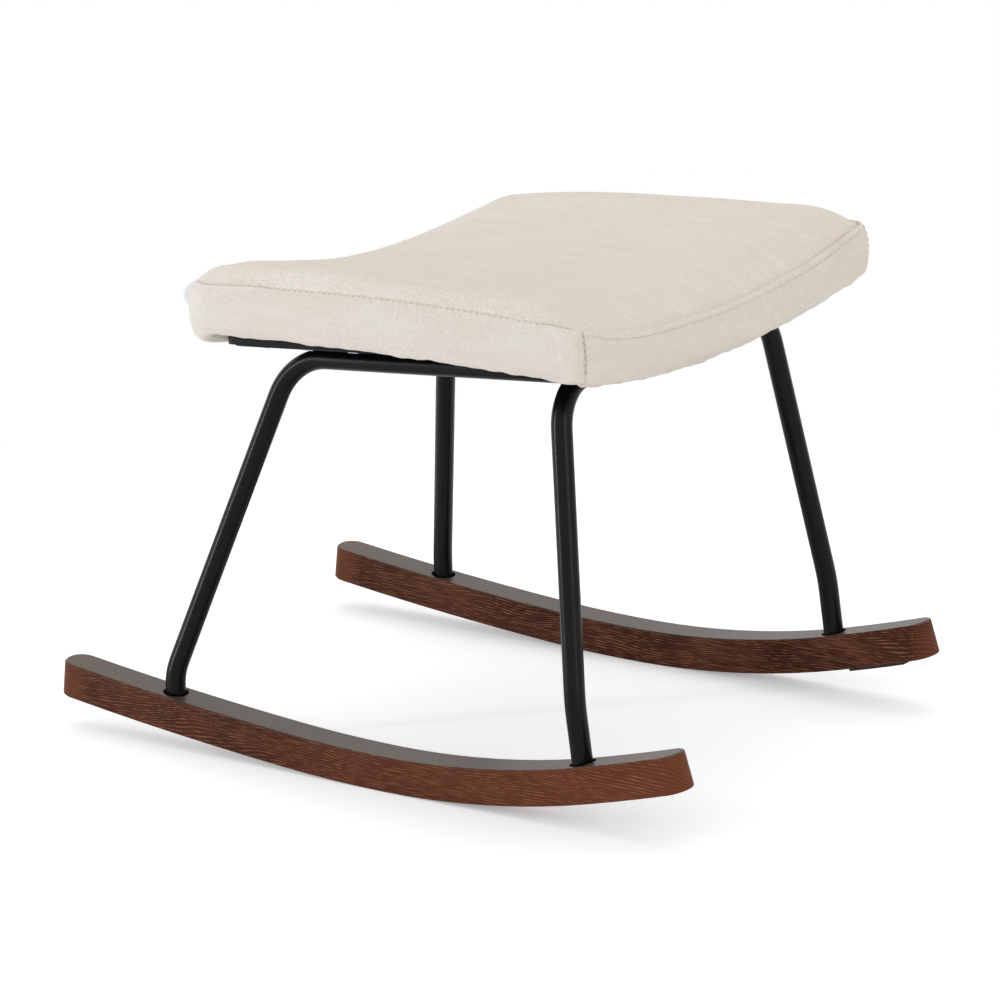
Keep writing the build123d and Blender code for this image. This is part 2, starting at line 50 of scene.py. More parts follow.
# ------------------------------------------------------------------ camera
# Fitted to the rockers, feet, bends and pad of the photograph.
VIEW_TURN, VIEW_TILT, VIEW_ROLL = radians(35.236), radians(15.841), radians(-1.961)
VIEW_SHIFT = Vector((8.963, -193.865, 4029.378)) * MM
SENSOR_MM = 36.0
FOCAL_PIXELS, PHOTO_PIXELS = 4500, 1000
FAR_CLIP = 60


def make_camera():
    ahead = Vector((-sin(VIEW_TURN) * cos(VIEW_TILT), cos(VIEW_TURN) * cos(VIEW_TILT), -sin(VIEW_TILT)))
    level = Vector((cos(VIEW_TURN), sin(VIEW_TURN), 0))
    top_sheen = level.cross(ahead)
    right = level * cos(VIEW_ROLL) + top_sheen * sin(VIEW_ROLL)
    over = top_sheen * cos(VIEW_ROLL) - level * sin(VIEW_ROLL)
    place = -(right * VIEW_SHIFT.x + over * VIEW_SHIFT.y + ahead * VIEW_SHIFT.z)
    data = bpy.data.cameras.new("camera")
    data.sensor_width = SENSOR_MM
    data.lens = SENSOR_MM * FOCAL_PIXELS / PHOTO_PIXELS
    data.clip_end = FAR_CLIP
    camera = bpy.data.objects.new("camera", data)
    camera.matrix_world = Matrix.Translation(place) @ Matrix((right, over, -ahead)).transposed().to_4x4()
    bpy.context.scene.collection.objects.link(camera)
    bpy.context.scene.camera = camera


# ------------------------------------------------------------------ materials
class Field:
    """A number that varies over a surface, with ordinary arithmetic."""

    def __init__(self, finish, socket):
        self.finish, self.socket = finish, socket

    def math(self, operation, *values):
        return self.finish.node("Math", {"operation": operation}, *values)

    def __add__(self, other):
        return self.math("ADD", self, other)

    def __sub__(self, other):
        return self.math("SUBTRACT", self, other)

    def __rsub__(self, other):
        return self.math("SUBTRACT", other, self)

    def __mul__(self, other):
        return self.math("MULTIPLY", self, other)

    def __truediv__(self, other):
        return self.math("DIVIDE", self, other)

    def __pow__(self, other):
        return self.math("POWER", self, other)

    __radd__ = __add__
    __rmul__ = __mul__

    def sine(self):
        return self.math("SINE", self)

    def size(self):
        return self.math("ABSOLUTE", self)

    def lower(self, other):
        return self.math("MINIMUM", self, other)

    def higher(self, other):
        return self.math("MAXIMUM", self, other)

    def between(self, low, high):
        """0 below low, 1 above high, smooth in between."""
        return self.finish.node("MapRange", {"interpolation_type": "SMOOTHSTEP"}, self, low, high)


class Finish:
    """One material: its node tree and the shader that its fields feed."""

    def __init__(self, name, roughness, **constants):
        self.material = bpy.data.materials.new(name)
        self.material.use_nodes = True
        self.tree = self.material.node_tree
        self.shader = self.tree.nodes["Principled BSDF"]
        self.shader.inputs["Roughness"].default_value = roughness
        for socket, value in constants.items():
            self.shader.inputs[socket.replace("_", " ")].default_value = value

    def node(self, kind, settings, *values, output=0, **named):
        """Adds a node: its settings first, then the values or links of its sockets."""
        made = self.tree.nodes.new("ShaderNode" + kind)
        for key, value in settings.items():
            setattr(made, key, value)
        for key, value in [*enumerate(values), *named.items()]:
            socket = made.inputs[key if isinstance(key, int) else key.replace("_", " ")]
            if isinstance(value, Field):
                self.tree.links.new(value.socket, socket)
            else:
                socket.default_value = value
        return Field(self, made.outputs[output])

    def position(self):
        return self.node("TexCoord", {}, output="Object")

    def cloth_place(self):
        """Distance along and across a fabric panel, in metres, stored on its points."""
        return self.node("Attribute", {"attribute_name": "cloth"}, output="Vector")

    def parts(self, vector):
        made = self.tree.nodes.new("ShaderNodeSeparateXYZ")
        self.tree.links.new(vector.socket, made.inputs[0])
        return [Field(self, made.outputs[axis]) for axis in "XYZ"]

    def scaled(self, vector, x, y, z):
        return self.node("VectorMath", {"operation": "MULTIPLY"}, vector, (x, y, z))

    def noise(self, vector, scale, detail=2.0, rough=0.5):
        return self.node("TexNoise", {}, Vector=vector, Scale=scale, Detail=detail, Roughness=rough)

    def mix(self, factor, low, high):
        """Colour from low to high."""
        low, high = (value if isinstance(value, Field) else colour(value) for value in (low, high))
        made = self.node("Mix", {"data_type": "RGBA"}, output=2)
        node = made.socket.node
        for index, value in ((0, factor), (6, low), (7, high)):
            if isinstance(value, Field):
                self.tree.links.new(value.socket, node.inputs[index])
            else:
                node.inputs[index].default_value = value
        return made

    def paint(self, base):
        if isinstance(base, Field):
            self.tree.links.new(base.socket, self.shader.inputs["Base Color"])
        else:
            self.shader.inputs["Base Color"].default_value = colour(base)

    def vary(self, socket, field):
        self.tree.links.new(field.socket, self.shader.inputs[socket])

    def rough(self, field):
        self.vary("Roughness", field)

    def facing_up(self):
        """1 on level faces, 0 on upright ones."""
        return self.parts(self.node("NewGeometry", {}, output="Normal"))[2]

    def relief(self, height, depth, strength=1.0):
        """Bump of the given depth in metres."""
        bump = self.node("Bump", {}, Strength=strength, Distance=depth, Height=height)
        self.tree.links.new(bump.socket.node.outputs["Normal"], self.shader.inputs["Normal"])


def colour(shade):
    """Linear colour from an 8-bit display colour."""
    def linear(value):
        value /= 255
        return value / 12.92 if value <= 0.04045 else ((value + 0.055) / 1.055) ** 2.4
    return (*(linear(value) for value in shade), 1.0)


def rocker_wood():
    """Stained ash: open pores as fine paler dashes along the rings of a dark brown ground."""
    f = Finish("stained_ash", 0.4, Specular_IOR_Level=0.07, Coat_Roughness=0.34)
    place = f.position()
    x, y, z = f.parts(place)
    sweep = f.noise(f.scaled(place, 4.0, 7.0, 12.0), 1.0, 2.0) - 0.5
    waver = f.noise(f.scaled(place, 30.0, 45.0, 45.0), 1.0, 2.0) - 0.5
    level = z + y * 0.3 + sweep * 0.06 + waver * 0.0012
    rings = (level * (TAU / 0.0026)).sine() * 0.5 + 0.5
    pores = f.noise(f.scaled(place, 48.0, 1300.0, 1300.0), 1.0, 2.0, 0.6).between(0.42, 0.62)
    fibre = f.noise(f.scaled(place, 22.0, 2100.0, 2100.0), 1.0, 2.0, 0.6)
    cloud = f.noise(f.scaled(place, 9.0, 30.0, 30.0), 1.0, 2.0)
    lines = rings.between(0.55, 1.0) * pores
    top_sheen = f.facing_up().between(0.6, 0.9)
    tips = x.size().between(0.3, 0.322)
    ground = f.mix(cloud.between(0.3, 0.7), (60, 31, 22), (82, 45, 31))
    ground = f.mix(fibre.between(0.45, 0.7) * 0.6, ground, (44, 21, 15))
    # painted light: the near rocker's side is painted a lighter orange towards its front end, standing in for light
    # that falls there
    painted_lit_front_end = x.between(-0.2, 0.25) * y.between(0.1, -0.1)
    ground = f.mix(painted_lit_front_end * 0.5, ground, (120, 66, 42))
    # partly the rounded ends' own smoother, redder finish and partly a painted highlight: the rocker ends are
    # painted lighter as if lit on their rounding
    ground = f.mix(tips * 0.6, ground, (108, 60, 38))
    stained = f.mix(lines * (1 - tips * 0.6) * 0.75, ground, (158, 106, 72))
    # painted sheen: level faces are painted a paler grey-brown, standing in for the sheen that glancing light gives
    # them; the Coat Weight below adds real reflection there too
    f.paint(f.mix(top_sheen * 0.75, stained, f.mix(fibre, (54, 49, 40), (86, 78, 65))))
    f.rough(0.36 + fibre * 0.14 + lines * 0.12)
    f.vary("Coat Weight", top_sheen * 0.55)
    f.relief(fibre * 0.3 - lines, 0.0003, 0.5)
    return f.material


def black_paint(name, roughness):
    """Satin powder coat with a faint orange peel."""
    f = Finish(name, roughness, Specular_IOR_Level=0.17)
    place = f.position()
    peel = f.noise(f.scaled(place, 620.0, 620.0, 620.0), 1.0, 2.0)
    dust = f.noise(f.scaled(place, 40.0, 40.0, 40.0), 1.0, 4.0, 0.6)
    f.paint(f.mix(dust, (6, 6, 7), (12, 12, 14)))
    f.rough(roughness - 0.04 + dust * 0.1)
    f.relief(peel, 0.00004, 0.5)
    return f.material


def zinc():
    f = Finish("zinc_plate", 0.35, Metallic=1.0)
    place = f.position()
    spangle = f.noise(f.scaled(place, 240.0, 240.0, 240.0), 1.0, 3.0)
    f.paint(f.mix(spangle, (150, 150, 152), (188, 188, 190)))
    f.rough(0.3 + spangle * 0.2)
    return f.material


def grip_rubber():
    f = Finish("ribbed_rubber", 0.8)
    place = f.position()
    x, y, z = f.parts(place)
    ribs = (x * TAU / 0.003).sine() * 0.5 + 0.5
    grit = f.noise(f.scaled(place, 700.0, 700.0, 700.0), 1.0, 2.0)
    f.paint(f.mix(grit, (22, 22, 24), (44, 44, 46)))
    f.relief(ribs + grit * 0.4, 0.0003)
    return f.material


def painted_ply():
    """Black painted plywood, its grain just showing through."""
    f = Finish("painted_ply", 0.5, Specular_IOR_Level=0.15)
    place = f.position()
    grain = f.noise(f.scaled(place, 30.0, 420.0, 420.0), 1.0, 3.0)
    f.paint(f.mix(grain, (9, 9, 10), (20, 21, 22)))
    f.rough(0.42 + grain * 0.2)
    f.relief(grain, 0.0002, 0.6)
    return f.material


def dust_cloth():
    """Thin spun-bonded cloth with a fine bonded dimple pattern."""
    f = Finish("spun_cloth", 0.9)
    place = f.position()
    x, y, z = f.parts(place)
    dimples = (x * TAU / 0.0022).sine() * (y * TAU / 0.0022).sine()
    fibres = f.noise(f.scaled(place, 500.0, 500.0, 500.0), 1.0, 4.0, 0.7)
    f.paint(f.mix(fibres, (24, 25, 27), (52, 53, 56)))
    f.relief(dimples * 0.5 + fibres, 0.0002)
    return f.material


def moulded_plastic():
    f = Finish("moulded_plastic", 0.55)
    place = f.position()
    spark = f.noise(f.scaled(place, 1200.0, 1200.0, 1200.0), 1.0, 2.0)
    f.paint(f.mix(spark, (26, 26, 27), (36, 36, 38)))
    f.relief(spark, 0.00005)
    return f.material


def plain_fibre(name, low, high):
    f = Finish(name, 0.95)
    place = f.position()
    cells = f.noise(f.scaled(place, 420.0, 420.0, 420.0), 1.0, 4.0, 0.7)
    f.paint(f.mix(cells, low, high))
    f.relief(cells, 0.0006)
    return f.material


THREAD_PITCH = 0.00115


def cover_fabric():
    """Brushed basket weave in warm off-white, heathered with pinkish slubs."""
    f = Finish("brushed_weave", 0.88, Sheen_Weight=0.35, Sheen_Roughness=0.45, Specular_IOR_Level=0.2)
    f.shader.inputs["Sheen Tint"].default_value = colour((246, 240, 230))
    place = f.cloth_place()
    along, across, panel = f.parts(place)
    wander = f.noise(f.scaled(place, 160.0, 160.0, 1.0), 1.0, 2.0) - 0.5
    warp = ((along + wander * 0.0006) * (TAU / THREAD_PITCH)).sine()
    weft = ((across + wander * 0.0006) * (TAU / THREAD_PITCH)).sine()
    slub_warp = f.noise(f.scaled(place, 1100.0, 110.0, 7.0), 1.0, 3.0, 0.6)
    slub_weft = f.noise(f.scaled(place, 110.0, 1100.0, 9.0), 1.0, 3.0, 0.6)
    speckle = f.noise(f.scaled(place, 620.0, 900.0, 5.0), 1.0, 3.0, 0.7)
    brushed = f.noise(f.scaled(place, 14.0, 60.0, 3.0), 1.0, 4.0, 0.65)
    nap = f.noise(f.scaled(place, 9.0, 14.0, 3.0), 1.0, 2.0)
    slub = slub_warp.higher(slub_weft)
    yarn = f.mix(slub.between(0.5, 0.72), (223, 215, 201), (238, 232, 220))
    yarn = f.mix(slub_warp.lower(slub_weft).between(0.46, 0.3) * 0.3, yarn, (214, 200, 185))
    yarn = f.mix(speckle.between(0.5, 0.66) * 0.55, yarn, (208, 193, 177))
    yarn = f.mix(speckle.between(0.5, 0.34) * 0.55, yarn, (240, 237, 231))
    yarn = f.mix(nap.between(0.35, 0.7) * 0.4, yarn, (227, 212, 198))
    f.paint(f.mix(brushed.between(0.45, 0.7) * 0.35, yarn, (233, 230, 223)))
    height = warp * weft * 0.35 + slub * 1.2 + speckle
    f.relief(height, 0.0004, 0.7)
    return f.material


def tape_fabric():
    f = Finish("satin_tape", 0.6, Sheen_Weight=0.2)
    place = f.position()
    x, y, z = f.parts(place)
    twill = ((z + y) * (TAU / 0.0007)).sine()
    lint = f.noise(f.scaled(place, 600.0, 600.0, 600.0), 1.0, 3.0)
    f.paint(f.mix(lint, (232, 233, 236), (246, 247, 249)))
    f.relief(twill * 0.5 + lint, 0.0001)
    return f.material


def thread_finish():
    f = Finish("sewing_thread", 0.7, Sheen_Weight=0.3)
    place = f.position()
    twist = f.noise(f.scaled(place, 2500.0, 2500.0, 2500.0), 1.0, 2.0)
    f.paint(f.mix(twist, (186, 152, 134), (204, 176, 158)))
    f.relief(twist, 0.0001)
    return f.material


# ------------------------------------------------------------------ mesh helpers
def new_piece(name, points, faces, material, smooth=True):
    mesh = bpy.data.meshes.new(name)
    mesh.from_pydata([tuple(p) for p in points], [], [tuple(face) for face in faces])
    mesh.update()
    mesh.polygons.foreach_set("use_smooth", [smooth] * len(mesh.polygons))
    mesh.materials.append(material)
    piece = bpy.data.objects.new(name, mesh)
    bpy.context.scene.collection.objects.link(piece)
    return piece


def grid_faces(rows, columns, closed):
    """Quads of a grid whose points run row by row."""
    faces = []
    for r in range(rows - 1):
        for c in range(columns if closed else columns - 1):
            d = (c + 1) % columns
            faces.append((r * columns + c, r * columns + d, (r + 1) * columns + d, (r + 1) * columns + c))
    return faces


def apply_modifiers(piece):
    bpy.context.view_layer.update()
    done = bpy.data.meshes.new_from_object(piece.evaluated_get(bpy.context.evaluated_depsgraph_get()))
    piece.modifiers.clear()
    piece.data = done


def smooth_noise(values, seed, knots):
    """Repeatable smooth wave over 0..1 with the given number of swings."""
    rng = np.random.default_rng(seed)
    phases = rng.uniform(0, TAU, 5)
    rates = knots * rng.uniform(0.6, 1.5, 5)
    total = sum(np.sin(values * TAU * rate + phase) for rate, phase in zip(rates, phases))
    return total / 2.2


# ------------------------------------------------------------------ pad
# Seam outline in plan, in millimetres; the seam follows the CAD cushion's ends and sides.
WRAP_LOW, WRAP_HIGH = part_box("cover_wrap_band")
SEAM_BACK = WRAP_LOW.x / MM + 4.5
SEAM_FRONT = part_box("cover_front_band")[1].x / MM - 8.0
SEAM_HALF = WRAP_HIGH.y / MM - 6.0
BACK_CORNER_R, FRONT_CORNER_R = 26.0, 6.0
SIDE_PULL = 4.0
OUTLINE_STEP = 2.0

SEAM_TOP, SEAM_BOW, SEAM_MIDDLE = 437.0, 7.0, 60.0
FAR_BACK_DROP = 21.3        # the far back corner hangs lower than the near one
CORNER_SAG, SAG_REACH = 3.6, 80.0
DISH_BACK, DISH_FRONT = 22.1, 27.0
DISH_POWER, DISH_FADE = 1.32, 200.0
PUFF, PUFF_BACK = 16.6, 3.2
PUFF_SIDE, PUFF_FRONT, PUFF_FRONT_FAR = 20.0, 60.0, 48.0
PUFF_END_NEAR, PUFF_END_FAR = 46.0, 57.0
PUFF_POWER = 3.24
HEM_TOP, HEM_BOW, HEM_DISH, HEM_SAG = 390.0, 4.0, 23.0, 5.0
HEM_BACK_DROP, HEM_BACK_BLEND = 8.0, 26.0
TUCK_IN = 13.0
SIDE_BULGE, BACK_BULGE, FRONT_BULGE = 6.0, 10.0, 8.0

FELL_WIDTH = 7.2            # raised fold between the front seam and its topstitch
FELL_RISE = 0.7
SIDE_STITCH_DEPTH = 1.0     # stitches below the seam on the other three sides
CLOTH_THICK = 1.1
TOP_INSETS = (0, 0.35, 0.7, 1.1, 1.6, 2.3, 3.2, 4.4, 6, 7.8, 9.8, 12, 14.5, 17.5, 21, 25, 29.5, 34, 40, 47, 55,
              64, 74, 85, 97, 110, 124, 139, 154, 169, 183, 196, 207, 215, 220)
BAND_DEPTHS = (0, 0.35, 0.7, 1.1, 1.6, 2.2, 3.0, 4.0, 5.2, 6.2, 6.8, 7.2, 7.6, 8.0, 8.5, 9.2, 10.5, 12.5, 15)
BAND_REST = 34
CURVE_STEPS = 160


def seam_outline():
    """Points of the seam in plan, anticlockwise from the middle of the front, with outward normals."""
    path = []

    def corner(cx, cy, radius, start):
        for k in range(13):
            angle = radians(start + 90 * k / 12)
            path.append((cx + radius * cos(angle), cy + radius * sin(angle)))

    fr, br = FRONT_CORNER_R, BACK_CORNER_R
    corner(SEAM_FRONT - fr, SEAM_HALF - fr, fr, 0)
    corner(SEAM_BACK + br, SEAM_HALF - br, br, 90)
    corner(SEAM_BACK + br, br - SEAM_HALF, br, 180)
    corner(SEAM_FRONT - fr, fr - SEAM_HALF, fr, 270)
    path = np.array([(SEAM_FRONT, 0.0), *path, (SEAM_FRONT, 0.0)])
    run = np.concatenate([[0], np.cumsum(np.linalg.norm(np.diff(path, axis=0), axis=1))])
    count = int(run[-1] / OUTLINE_STEP)
    at = np.arange(count) * run[-1] / count
    outline = np.stack([np.interp(at, run, path[:, 0]), np.interp(at, run, path[:, 1])], 1)
    across = np.roll(outline, -2, 0) - np.roll(outline, 2, 0)
    normal = np.stack([across[:, 1], -across[:, 0]], 1)
    normal /= np.linalg.norm(normal, axis=1)[:, None]
    return outline, normal, at


def drawn_in(x, y):
    """Draws the front and back ends in between their corners."""
    middle = (SEAM_BACK + SEAM_FRONT) / 2
    share = (x - middle) / (SEAM_FRONT - middle)
    pull = SIDE_PULL * (1 - (y / SEAM_HALF) ** 2)
    return x - share * pull


def seam_height(x, y):
    """Height of the surface that the top seam lies on."""
    forward = np.clip((x - SEAM_BACK) / (SEAM_FRONT - SEAM_BACK), 0, 1)
    near = SEAM_TOP - SEAM_BOW * ((x - SEAM_MIDDLE) / 180) ** 2
    far = near + 1.2 - FAR_BACK_DROP * (1 - forward)
    share = (y / SEAM_HALF + 1) / 2
    dish = DISH_BACK + (DISH_FRONT - DISH_BACK) * forward
    power = DISH_POWER + (1 - DISH_POWER) * np.clip((x - SEAM_BACK) / DISH_FADE, 0, 1)
    arch = np.maximum(0, 1 - (y / SEAM_HALF) ** 2) ** power
    return near * (1 - share) + far * share - dish * arch - CORNER_SAG * far_back(x, y)


def far_back(x, y):
    """1 at the far back corner, fading out over SAG_REACH."""
    return np.exp(-((x - SEAM_BACK) / SAG_REACH) ** 2 - ((y - SEAM_HALF) / SAG_REACH) ** 2)


def puffed(distance, reach):
    return 1 - np.clip(1 - distance / reach, 0, 1) ** PUFF_POWER


def top_height(x, y):
    rise = PUFF + PUFF_BACK * np.clip((60 - x) / 220, 0, 1)
    across = np.clip((y / SEAM_HALF + 1) / 2, 0, 1) ** 2
    end = PUFF_END_NEAR + (PUFF_END_FAR - PUFF_END_NEAR) * across
    front = PUFF_FRONT + (PUFF_FRONT_FAR - PUFF_FRONT) * across
    rise = rise * puffed(SEAM_HALF - np.abs(y), PUFF_SIDE)
    rise = rise * puffed(SEAM_FRONT - x, front) * puffed(x - SEAM_BACK, end)
    return seam_height(x, y) + rise


def hem_height(x, y):
    turn = np.clip((SEAM_BACK + HEM_BACK_BLEND - x) / HEM_BACK_BLEND, 0, 1)
    drop = HEM_BACK_DROP * turn ** 2 * (3 - 2 * turn) + HEM_SAG * far_back(x, y)
    return HEM_TOP - HEM_BOW * ((x - 38) / 200) ** 2 - HEM_DISH * (1 - (y / SEAM_HALF) ** 2) - drop


def side_blend(normal):
    """How much each outline point belongs to the sides, the back and the front."""
    side = normal[:, 1] ** 2
    back = np.where(normal[:, 0] < 0, normal[:, 0] ** 2, 0)
    front = np.where(normal[:, 0] > 0, normal[:, 0] ** 2, 0)
    return side, back, front


def catmull(keys, count):
    """Smooth curves through keys (k, n, 2), count points each, as (count, n, 2)."""
    keys = np.concatenate([2 * keys[:1] - keys[1:2], keys, 2 * keys[-1:] - keys[-2:-1]])
    spans = len(keys) - 3
    rows = []
    for t in np.linspace(0, spans, count):
        k = min(int(t), spans - 1)
        u = t - k
        a, b, c, d = keys[k:k + 4]
        rows.append(0.5 * (2 * b + (c - a) * u + (2 * a - 5 * b + 4 * c - d) * u ** 2
                           + (3 * b - a - 3 * c + d) * u ** 3))
    return np.array(rows)


def band_rows(outline, normal, at):
    """Rows of points from the seam down the band and under the hem."""
    side, back, front = side_blend(normal)
    bulge = SIDE_BULGE * side + BACK_BULGE * back + FRONT_BULGE * front
    x, y = outline.T
    top, hem = seam_height(x, y), hem_height(x, y)
    height = top - hem
    share = at / at[-1]
    scallop = smooth_noise(share, 11, 62) * 0.35 + smooth_noise(share, 12, 27) * 0.6
    inner = 8.0 + 12.0 * front
    zero = np.zeros_like(x)
    keys = [(zero, zero), (0.62 * bulge, -0.14 * height), (bulge, -0.42 * height),
            (0.97 * bulge, -0.7 * height + scallop * 0.3), (0.66 * bulge, -0.91 * height + scallop * 0.8),
            (-0.1 * bulge - 1, -height + scallop), (zero - TUCK_IN * 0.6, -height + 0.5 + scallop * 0.4),
            (zero - TUCK_IN - 3, -height + inner)]
    rows = catmull(np.array([np.stack(key, 1) for key in keys]), CURVE_STEPS)
    points = []
    for out, drop in rows.transpose(0, 2, 1):
        px = x + normal[:, 0] * out
        py = y + normal[:, 1] * out
        points.append(np.stack([drawn_in(px, py), py, top + drop], 1))
    return laid_rows(np.array(points))


def laid_rows(fine):
    """Rows at the depths named above under the seam, then evenly on to the inner edge."""
    distance = row_distance(fine)
    last = BAND_DEPTHS[-1]
    rest = np.arange(1, BAND_REST + 1) / BAND_REST
    laid = np.empty((len(BAND_DEPTHS) + BAND_REST, fine.shape[1], 3))
    for c in range(fine.shape[1]):
        marks = np.concatenate([BAND_DEPTHS, last + (distance[-1, c] - last) * rest])
        for axis in range(3):
            laid[:, c, axis] = np.interp(marks, distance[:, c], fine[:, c, axis])
    return laid


def top_rows(outline):
    middle = np.array([(SEAM_BACK + SEAM_FRONT) / 2, 0])
    points = []
    for inset in TOP_INSETS:
        plan = middle + (outline - middle) * (1 - inset / SEAM_HALF)
        x, y = plan.T
        points.append(np.stack([drawn_in(x, y), y, top_height(x, y)], 1))
    return np.array(points)


TOP_FACING, BAND_FACING = 1, -1


def grid_normals(rows, facing):
    """Outward normals of a closed grid, whose rows run inwards on the top and downwards on the band."""
    along = np.roll(rows, -1, 1) - np.roll(rows, 1, 1)
    down = np.gradient(rows, axis=0)
    normal = facing * np.cross(along, down)
    return normal / np.maximum(np.linalg.norm(normal, axis=2)[..., None], 1e-9)


outline, outline_normal, outline_at = seam_outline()
OUTLINE_LENGTH = outline_at[-1] + OUTLINE_STEP


def pad_form():
    """Closed plain form of the stuffed pad for the cloth simulation, as points and faces."""
    top, band = top_rows(outline)[::-1], band_rows(outline, outline_normal, outline_at)
    rows = np.concatenate([top, band[1:]])
    count = rows.shape[1]
    points = rows.reshape(-1, 3)
    faces = [face[::-1] for face in grid_faces(len(rows), count, True)]
    middle_top, middle_under = len(points), len(points) + 1
    points = np.concatenate([points, [top[0].mean(0)], [band[-1].mean(0)]])
    last = (len(rows) - 1) * count
    for c in range(count):
        d = (c + 1) % count
        faces.append((middle_top, c, d))
        faces.append((middle_under, last + d, last + c))
    return points, faces


SIM_INSET = 5.0
SIM_VOXEL = 0.006
SIM_FRAMES = 20
SIM_PRESSURE = 4.0
SIM_CAP = 9.0 * MM
SIM_REACH = 1.6             # most that the simulated shape moves the panels either way


def simulated_pad():
    """The pad blown up as cloth from a slightly smaller form, as a tree of its faces."""
    points, faces = pad_form()
    form = new_piece("pad_form", points * MM, faces, bpy.data.materials[0])
    shrink = form.modifiers.new("smaller", "DISPLACE")
    shrink.strength = -SIM_INSET * MM
    shrink.mid_level = 0
    remesh = form.modifiers.new("even", "REMESH")
    remesh.mode = "VOXEL"
    remesh.voxel_size = SIM_VOXEL
    apply_modifiers(form)
    rest = np.array([v.co for v in form.data.vertices])
    held = form.vertex_groups.new(name="held")
    low = [int(i) for i, p in enumerate(rest) if p[2] < hem_height(p[0] / MM, p[1] / MM) * MM + 0.004]
    held.add(low, 1.0, "REPLACE")
    cloth = form.modifiers.new("cloth", "CLOTH")
    cloth.settings.quality = 5
    cloth.settings.mass = 0.3
    cloth.settings.tension_stiffness = 12
    cloth.settings.compression_stiffness = 12
    cloth.settings.shear_stiffness = 5
    cloth.settings.bending_stiffness = 0.6
    cloth.settings.use_pressure = True
    cloth.settings.uniform_pressure_force = SIM_PRESSURE
    cloth.settings.effector_weights.gravity = 0
    cloth.settings.vertex_group_mass = "held"
    scene = bpy.context.scene
    cloth.point_cache.frame_end = SIM_FRAMES
    for step in range(1, SIM_FRAMES + 1):
        scene.frame_set(step)
    grown = form.evaluated_get(bpy.context.evaluated_depsgraph_get()).data
    moved = np.array([v.co for v in grown.vertices]) - rest
    reach = np.linalg.norm(moved, axis=1)[:, None]
    moved *= np.minimum(1, SIM_CAP / np.maximum(reach, 1e-9))
    form.modifiers.clear()
    form.data.vertices.foreach_set("co", (rest + moved).ravel())
    scene.frame_set(1)
    tree = BVHTree.FromObject(form, bpy.context.evaluated_depsgraph_get())
    bpy.data.objects.remove(form)
    return tree


def cloth_offsets(rows, tree, normal):
    """How far the simulated pad stands off each point, smoothed along the grid, in millimetres."""
    offset = np.zeros(rows.shape[:2])
    for r in range(rows.shape[0]):
        for c in range(rows.shape[1]):
            hit = tree.find_nearest(Vector(rows[r, c] * MM))
            offset[r, c] = (np.array(hit[0]) / MM - rows[r, c]) @ normal[r, c]
    for _ in range(6):
        offset = (offset + np.roll(offset, 1, 1) + np.roll(offset, -1, 1)) / 3
        inner = (offset[:-2] + offset[1:-1] + offset[2:]) / 3
        offset[1:-1] = inner
    offset -= np.median(offset)
    return np.clip(offset, -SIM_REACH, SIM_REACH)[..., None]


def bump_at(distance, centre, width):
    return np.exp(-((distance - centre) / width) ** 2)


def step_at(distance, place, sharpness=4.0):
    return 1 / (1 + np.exp(-(distance - place) * sharpness))


def band_relief(distance, front, at):
    """Height in millimetres that seam, fell and topstitch give the band below the seam."""
    groove = (-0.12 - 0.45 * front) * bump_at(distance, 0, 0.45)
    fell = FELL_RISE * step_at(distance, 0.7) * step_at(-distance, -FELL_WIDTH)
    stitched = -0.45 * bump_at(distance, FELL_WIDTH + 0.5, 0.8)
    drawn = -0.22 * bump_at(distance, SIDE_STITCH_DEPTH, 1.2)
    pucker = smooth_noise(at / OUTLINE_LENGTH, 21, 150) * bump_at(distance, 6, 7) * 0.2
    return groove + (fell + stitched) * front + drawn * (1 - front) + pucker


def top_relief(distance, front, at):
    """The same for the top panel above its seam."""
    groove = (-0.12 - 0.45 * front) * bump_at(distance, 0, 0.45)
    drawn = -0.15 * bump_at(distance, 0, 1.6) * (1 - front)
    pucker = smooth_noise(at / OUTLINE_LENGTH, 22, 120) * bump_at(distance, 6, 8) * 0.2
    return groove + drawn + pucker


def row_distance(rows):
    """Distance of each point from the first row, measured down the grid."""
    step = np.linalg.norm(np.diff(rows, axis=0), axis=2)
    return np.concatenate([np.zeros((1, rows.shape[1])), np.cumsum(step, 0)])


def fabric_piece(name, rows, closed, panel, columns_at, material, facing):
    """A cover panel from its rows, with its fabric coordinates stored on its points."""
    count = rows.shape[1]
    faces = grid_faces(len(rows), count, closed)
    if facing == BAND_FACING:
        faces = [face[::-1] for face in faces]
    piece = new_piece(name, rows.reshape(-1, 3) * MM, faces, material)
    distance = row_distance(rows)
    place = np.zeros((len(rows), count, 3))
    place[..., 0] = columns_at[None, :]
    place[..., 1] = distance
    place[..., 2] = panel
    store = piece.data.attributes.new("cloth", "FLOAT_VECTOR", "POINT")
    store.data.foreach_set("vector", (place * [MM, MM, 1]).astype(np.float32).ravel())
    return piece


def thicken(piece):
    shell = piece.modifiers.new("thickness", "SOLIDIFY")
    shell.thickness = CLOTH_THICK * MM
    shell.offset = -1
    apply_modifiers(piece)


def capsule_rings(length, radius, sides=7):
    """Points of a short rounded thread lying along X."""
    stations = ((-0.5, 0.35), (-0.38, 0.85), (0, 1.0), (0.38, 0.85), (0.5, 0.35))
    return [[(share * length, radius * width * cos(TAU * k / sides), radius * width * sin(TAU * k / sides))
             for k in range(sides)] for share, width in stations]


STITCH_PITCH, STITCH_LENGTH, STITCH_RADIUS = 6.0, 3.6, 0.32


